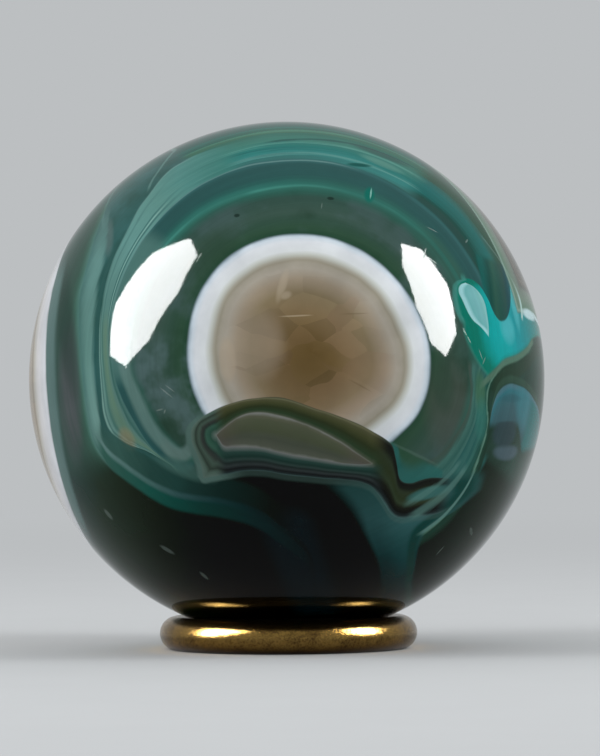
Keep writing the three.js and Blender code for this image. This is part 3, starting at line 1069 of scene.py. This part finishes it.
def paint_caps(graph, m, paint, left, right, small):
    """Round caps of the other eyes, and the white rim between the flame and the right cap."""
    side = graph.window(m.left_turn, 160, 212, 10) * graph.rise(m.r, 62, 56)
    paint = graph.mix(paint, tint(80, 108, 105), graph.rise(left, -4.0, -2.4) * side * 0.95)
    left_colours = graph.ramp(
        left + m.clouds * 1.4,
        [
            (-0.2, tint(150, 160, 160)), (0.5, tint(198, 201, 207)), (4.0, tint(199, 198, 199)),
            (6.0, tint(172, 169, 159)), (7.2, tint(128, 118, 100)), (8.2, tint(146, 138, 122)),
            (11.0, tint(128, 112, 88)), (17.0, tint(104, 85, 58)), (30.0, tint(84, 66, 42)),
        ],
    )
    left_colours = eye_core(graph, m, left_colours, left)
    paint = graph.mix(paint, left_colours, graph.edge(left, 0.3))

    grains = graph.noise(m.spot, 0.8, 3.0, 0.7, 0, right * 2.0 + m.clouds * 2.0) - 0.5
    bands = graph.ramp(
        grains,
        [
            (-0.2, tint(58, 60, 54)), (-0.02, tint(76, 76, 70)), (0.06, tint(92, 90, 82)),
            (0.22, tint(112, 110, 102)),
        ],
    )
    pale = graph.ramp(
        right,
        [
            (0.0, tint(84, 112, 100)), (0.35, tint(118, 146, 134)), (0.9, tint(86, 116, 98)),
            (2.2, tint(100, 120, 106)), (4.0, tint(100, 112, 104)),
        ],
    )
    bands = graph.mix(pale, bands, graph.rise(right + m.clouds * 2, 3.2, 4.8))
    inner = graph.ramp(
        right + m.clouds * 2.0,
        [
            (15.0, tint(60, 66, 58)), (16.5, tint(34, 50, 40)), (17.4, tint(60, 98, 90)),
            (17.9, tint(150, 162, 160)), (18.6, tint(198, 202, 206)), (21.6, tint(196, 196, 194)),
            (23.2, tint(160, 152, 136)), (24.2, tint(128, 118, 98)), (25.2, tint(142, 130, 110)),
            (29.0, tint(122, 104, 78)), (38.0, tint(92, 74, 46)),
        ],
    )
    inner = eye_core(graph, m, inner, right - 18)
    bands = graph.mix(bands, inner, graph.rise(right + m.clouds * 2, 14.6, 16.2))
    paint = graph.mix(paint, bands, graph.edge(right, 0.3))

    small_colours = graph.ramp(
        small + m.clouds,
        [
            (-0.6, tint(60, 96, 88)), (0.0, tint(150, 162, 160)), (0.5, tint(202, 206, 209)),
            (1.8, tint(194, 194, 186)), (2.6, tint(138, 130, 112)), (3.4, tint(148, 138, 120)),
            (5.5, tint(122, 106, 80)), (9.0, tint(92, 74, 46)),
        ],
    )
    paint = graph.mix(paint, small_colours, graph.edge(small + 0.4, 0.4))

    # White lobe over the flame's right side, and the white line along the cap's edge
    lobe = m.patch((43.8, 9.9), (3.0, 0.95), 4, 0.4).most(m.patch((49.5, 10.2), (4.2, 0.55), -6, 0.5))
    paint = graph.mix(paint, tint(178, 204, 208), lobe * 0.95)
    off_edge = m.across - graph.line(m.up, CAP_EDGE_AT)
    edge = graph.stripe(off_edge, 0.12, 0.4) * graph.window(m.up, 8.8, 22, 1.2)
    return graph.mix(paint, tint(160, 190, 186), edge * (0.12 + graph.rise(m.up, 16, 11) * 0.8))


def paint_agate(graph, settings):
    """The agate's colour, laid on from the back layers to the front ones, and its small marks."""
    m = EyeMap(graph, settings)
    left = cap_depth(graph, m, LEFT_CAP)
    foot = (m.above - graph.line(m.back, RIGHT_CAP_FOOT)) * m.ball_radius
    right = cap_depth(graph, m, RIGHT_CAP).least(foot)
    small = cap_depth(graph, m, SMALL_CAP)
    outside = (-left).least(-right).least(-small).most(0)

    paint = paint_ground(graph, settings, m, outside)
    # Dark underside: partly the stone's own colour and partly painted shade
    dark = dark_stone_and_shade(graph, m)
    paint = paint_lower(graph, m, paint, dark)
    eye_edge = graph.line(m.left_turn, EYE_EDGE)
    arc = graph.line(m.upper_turn, BRIGHT_ARC)
    thin = graph.line(m.upper_turn, THIN_LINE)
    sweep_end = graph.line(m.left_turn, SWEEP_END)
    paint, depth = paint_shells(graph, settings, m, paint, eye_edge, arc, thin)
    paint = paint_upper(graph, m, paint, depth)
    paint = paint_sweep(graph, m, paint, thin, sweep_end)
    paint = paint_left(graph, m, paint, dark, arc, thin, sweep_end)
    paint = paint_right(graph, m, paint)
    paint = paint_wash(graph, m, paint)
    paint = paint_eye(graph, settings, m, paint, eye_edge)
    paint = paint_block(graph, m, paint)
    paint = paint_strands(graph, m, paint)
    paint = paint_flame(graph, m, paint)
    paint = paint_dome(graph, m, paint)
    paint = paint_caps(graph, m, paint, left, right, small)
    off_eye = graph.rise(m.r, 15, 19)
    paint = graph.shade(paint, 1 + m.clouds * 0.25 + (m.streaks * 0.16 + m.fibres * 0.3) * off_eye)
    paint = graph.mix(paint, (0.0045, 0.0045, 0.0045), 1.0, "SUBTRACT")

    marks = graph.number(0.0)
    for middle, half, lean in MARKS:
        marks = marks.most(m.patch(middle, half, lean, 0.5))
    paint = graph.mix(paint, tint(130, 146, 140), marks * 0.22)
    return paint, m, marks


def make_agate(settings):
    material, graph = new_material("Agate")
    paint, m, marks = paint_agate(graph, settings)
    wear = graph.noise(m.spot, 30.0, 4.0, 0.6)
    rough = settings.roughness + graph.rise(wear, 0.6, 0.8) * 0.06 + marks * 0.35
    skin = graph.noise(m.spot, 60.0, 2.0, 0.5)
    bump = graph.node("ShaderNodeBump", None, {"Strength": 0.03, "Distance": 0.0001, "Height": skin})
    surface = graph.node(
        "ShaderNodeBsdfPrincipled",
        None,
        {"Base Color": paint, "Roughness": rough, "Normal": bump, "IOR": 1.20},
    )
    graph.node("ShaderNodeOutputMaterial", None, {"Surface": surface})
    return material


def make_brass(settings):
    material, graph = new_material("Brass")
    where = graph.node("ShaderNodeTexCoord", output=3)
    inputs = {"Vector": where, "Scale": (1 / settings.rod_radius,) * 3}
    spot = graph.node("ShaderNodeMapping", {"vector_type": "POINT"}, inputs)
    grain = graph.noise(spot, 8.0, 4.0, 0.75)
    patch = graph.noise(spot, 0.9, 3.0, 0.6)
    x, y, z = graph.split(where)
    height = z / (2 * settings.rod_radius)
    aged = graph.rise(grain, 0.44, 0.6) * 0.55 + graph.rise(patch, 0.4, 0.65) * 0.4
    paint = graph.mix(settings.brass, settings.tarnish, aged)
    # Painted shade: the rod turns dark brown towards its underside
    paint = graph.mix(paint, tint(52, 30, 14), graph.rise(height, 0.36, 0.04) * 0.85)
    rough = 0.12 + graph.rise(grain, 0.4, 0.7) * 0.14 + (patch - 0.5) * 0.06
    bump = graph.node("ShaderNodeBump", None, {"Strength": 0.6, "Distance": 0.00005, "Height": grain})
    surface = graph.node(
        "ShaderNodeBsdfPrincipled",
        None,
        {"Base Color": paint, "Roughness": rough, "Metallic": 1.0, "Normal": bump},
    )
    graph.node("ShaderNodeOutputMaterial", None, {"Surface": surface})
    return material


# Pieces


def finish_piece(name, mesh_data, material, body, node):
    """Turns a bmesh into an object that stands for its CAD node."""
    bmesh.ops.recalc_face_normals(mesh_data, faces=mesh_data.faces[:])
    mesh = bpy.data.meshes.new(name)
    mesh_data.to_mesh(mesh)
    mesh_data.free()
    mesh.shade_smooth()
    mesh.materials.append(material)
    piece = bpy.data.objects.new(name, mesh)
    bpy.context.scene.collection.objects.link(piece)
    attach(piece, body)
    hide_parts(node)
    return piece


class AddAgateBall(bpy.types.Operator):
    """Add the polished agate ball"""

    bl_idname = "mesh.add_agate_ball"
    bl_label = "Add agate ball"

    def execute(self, context):
        settings = context.scene.agate_ball
        ball = bmesh.new()
        bmesh.ops.create_icosphere(ball, subdivisions=settings.divisions, radius=settings.radius)
        bmesh.ops.translate(ball, verts=ball.verts[:], vec=(0, 0, settings.height))
        finish_piece("agate_ball", ball, make_agate(settings), "ball", "agate_sphere")
        return {"FINISHED"}


class AddRingStand(bpy.types.Operator):
    """Add the brass hoop that carries the ball"""

    bl_idname = "mesh.add_ring_stand"
    bl_label = "Add ring stand"

    def execute(self, context):
        settings = context.scene.ring_stand
        rod_height = math.sqrt(settings.rod_radius**2 - (settings.foot_width / 2) ** 2)
        hoop = bmesh.new()
        upright = Euler((math.pi / 2, 0, 0)).to_matrix().to_4x4()
        upright = Matrix.Translation((settings.hoop_radius, 0, rod_height)) @ upright
        section = bmesh.ops.create_circle(hoop, segments=72, radius=settings.rod_radius, matrix=upright)
        for point in section["verts"]:
            point.co.z = max(point.co.z, 0)
        bmesh.ops.spin(
            hoop,
            geom=hoop.edges[:],
            cent=(0, 0, 0),
            axis=(0, 0, 1),
            angle=2 * math.pi,
            steps=settings.steps,
            use_merge=True,
        )
        middle = Vector((0, 0, rod_height))
        for point in hoop.verts:
            around = math.atan2(point.co.x, -point.co.y)
            outward = Vector((point.co.x, point.co.y, 0)).normalized()
            off = math.degrees(around - settings.joint_angle)
            from_rod = point.co - outward * settings.hoop_radius - middle
            groove = settings.joint_depth * math.exp(-((off / 0.7) ** 2))
            if point.co.z > 0:
                point.co -= from_rod.normalized() * groove
            point.co += outward * settings.wobble * math.sin(2 * around + 0.7) * 0.5
        finish_piece("ring_stand", hoop, make_brass(settings), "stand", "brass_ring")
        return {"FINISHED"}


# Stage


def make_floor(settings):
    material, graph = new_material("Floor")
    where = graph.node("ShaderNodeTexCoord", output=3)
    reach = graph.node("ShaderNodeVectorMath", {"operation": "LENGTH"}, {0: where}, 1)
    grain = graph.noise(where, 60.0, 3.0)
    matt = graph.node(
        "ShaderNodeBsdfDiffuse", None, {"Color": graph.shade(settings.floor_colour, 0.98 + grain * 0.04)}
    )
    pale = graph.node("ShaderNodeEmission", None, {"Color": tuple(settings.backdrop), "Strength": 1.0})
    surface = graph.node(
        "ShaderNodeMixShader", None, {0: graph.rise(reach, 0.12, 0.75), 1: matt, 2: pale}
    )
    graph.node("ShaderNodeOutputMaterial", None, {"Surface": surface})
    return material


# Softboxes: name, direction from the ball, and half the octagon's width and height as
# (to the right, up) shares of its distance

SOFTBOXES = (
    ("left", (-0.830, -0.257, 0.494), (0.256, 0.090), (0.020, 0.465)),
    ("right", (0.854, -0.214, 0.475), (0.185, 0.030), (0.045, 0.378)),
)
SOFTBOX_DISTANCE = 0.7

# Camera's place, to the right of the ball's middle and above it

CAMERA_RIGHT = 0.00195
CAMERA_UP = 0.00019


class AddStudio(bpy.types.Operator):
    """Add the floor, the softboxes, the pale surroundings and the camera"""

    bl_idname = "scene.add_agate_studio"
    bl_label = "Add studio"

    def execute(self, context):
        settings = context.scene.studio
        scene = context.scene
        scene.view_settings.view_transform = "Standard"

        plate = bmesh.new()
        bmesh.ops.create_circle(plate, cap_ends=True, segments=96, radius=12.0)
        self.staged("floor", plate, make_floor(settings))

        height = scene.agate_ball.height
        for name, way, half_width, half_height in SOFTBOXES:
            direction = Vector(way).normalized()
            stand = direction * SOFTBOX_DISTANCE + Vector((0, 0, height))
            turned = direction.to_track_quat("Z", "Y").to_matrix().to_4x4()
            lamp_data = bpy.data.lights.new(f"{name}_lamp", "AREA")
            lamp_data.shape = "ELLIPSE"
            lamp_data.size = 2 * half_width[0] * SOFTBOX_DISTANCE
            lamp_data.size_y = 2 * half_height[1] * SOFTBOX_DISTANCE
            lamp_data.energy = settings.lamp_power
            lamp = bpy.data.objects.new(f"{name}_lamp", lamp_data)
            lamp.matrix_world = Matrix.Translation(stand) @ turned
            lamp.visible_glossy = False
            lamp.visible_camera = False
            scene.collection.objects.link(lamp)

            right = Vector((0, 0, 1)).cross(direction).normalized()
            up = direction.cross(right)
            wide = (right * half_width[0] + up * half_width[1]) * SOFTBOX_DISTANCE
            tall = (right * half_height[0] + up * half_height[1]) * SOFTBOX_DISTANCE
            skewed = Matrix((wide, tall, direction)).transposed().to_4x4()
            card = bmesh.new()
            bmesh.ops.create_circle(
                card, cap_ends=True, segments=8, radius=1, matrix=Matrix.Translation(stand) @ skewed
            )
            material, graph = new_material(f"{name} softbox")
            inputs = {"Color": (1.0, 1.0, 1.0), "Strength": settings.sheen}
            glow = graph.node("ShaderNodeEmission", None, inputs)
            graph.node("ShaderNodeOutputMaterial", None, {"Surface": glow})
            face = self.staged(f"{name}_softbox", card, material)
            face.visible_camera = False
            face.visible_diffuse = False
            face.visible_shadow = False

        world = bpy.data.worlds.new("Surroundings")
        world.use_nodes = True
        graph = Graph(world.node_tree)
        rays = graph.node("ShaderNodeLightPath")
        seen = rays + Socket(graph, rays.socket.node.outputs["Is Glossy Ray"])
        seen = seen + Socket(graph, rays.socket.node.outputs["Is Transmission Ray"])
        inputs = {"Color": tuple(settings.backdrop), "Strength": 1.0}
        pale = graph.node("ShaderNodeBackground", None, inputs)
        inputs = {"Color": (1.0, 1.0, 1.0), "Strength": settings.ambient}
        soft = graph.node("ShaderNodeBackground", None, inputs)
        both = graph.node("ShaderNodeMixShader", None, {0: seen.least(1), 1: soft, 2: pale})
        graph.node("ShaderNodeOutputWorld", None, {"Surface": both})
        scene.world = world

        camera_data = bpy.data.cameras.new("camera")
        camera_data.lens = settings.lens
        camera_data.sensor_width = 36
        camera_data.clip_start = 0.05
        camera_data.clip_end = 20
        camera = bpy.data.objects.new("camera", camera_data)
        level = Euler((math.pi / 2, 0, 0)).to_matrix().to_4x4()
        rolled = Matrix.Rotation(-settings.roll, 4, "Z")
        place = Matrix.Translation((CAMERA_RIGHT, -settings.distance, height + CAMERA_UP))
        camera.matrix_world = place @ level @ rolled
        scene.collection.objects.link(camera)
        scene.camera = camera
        return {"FINISHED"}

    def staged(self, name, mesh_data, material):
        mesh = bpy.data.meshes.new(name)
        mesh_data.to_mesh(mesh)
        mesh_data.free()
        mesh.materials.append(material)
        made = bpy.data.objects.new(name, mesh)
        bpy.context.scene.collection.objects.link(made)
        return made


class VIEW3D_PT_agate(bpy.types.Panel):
    """Sizes, colours and buttons of the agate sphere"""

    bl_label = "Agate sphere"
    bl_space_type = "VIEW_3D"
    bl_region_type = "UI"
    bl_category = "Agate"

    def draw(self, context):
        for group, operator in (
            (context.scene.ring_stand, AddRingStand),
            (context.scene.agate_ball, AddAgateBall),
            (context.scene.studio, AddStudio),
        ):
            box = self.layout.box()
            for name in group.__annotations__:
                box.prop(group, name)
            box.operator(operator.bl_idname)


CLASSES = (
    AgateBallSettings,
    RingStandSettings,
    StudioSettings,
    AddAgateBall,
    AddRingStand,
    AddStudio,
    VIEW3D_PT_agate,
)


def register():
    for made in CLASSES:
        bpy.utils.register_class(made)
    bpy.types.Scene.agate_ball = PointerProperty(type=AgateBallSettings)
    bpy.types.Scene.ring_stand = PointerProperty(type=RingStandSettings)
    bpy.types.Scene.studio = PointerProperty(type=StudioSettings)


def unregister():
    del bpy.types.Scene.studio
    del bpy.types.Scene.ring_stand
    del bpy.types.Scene.agate_ball
    for made in reversed(CLASSES):
        bpy.utils.unregister_class(made)


def main():
    register()
    bpy.ops.mesh.add_ring_stand()
    bpy.ops.mesh.add_agate_ball()
    bpy.ops.scene.add_agate_studio()


if __name__ == "__main__":
    main()
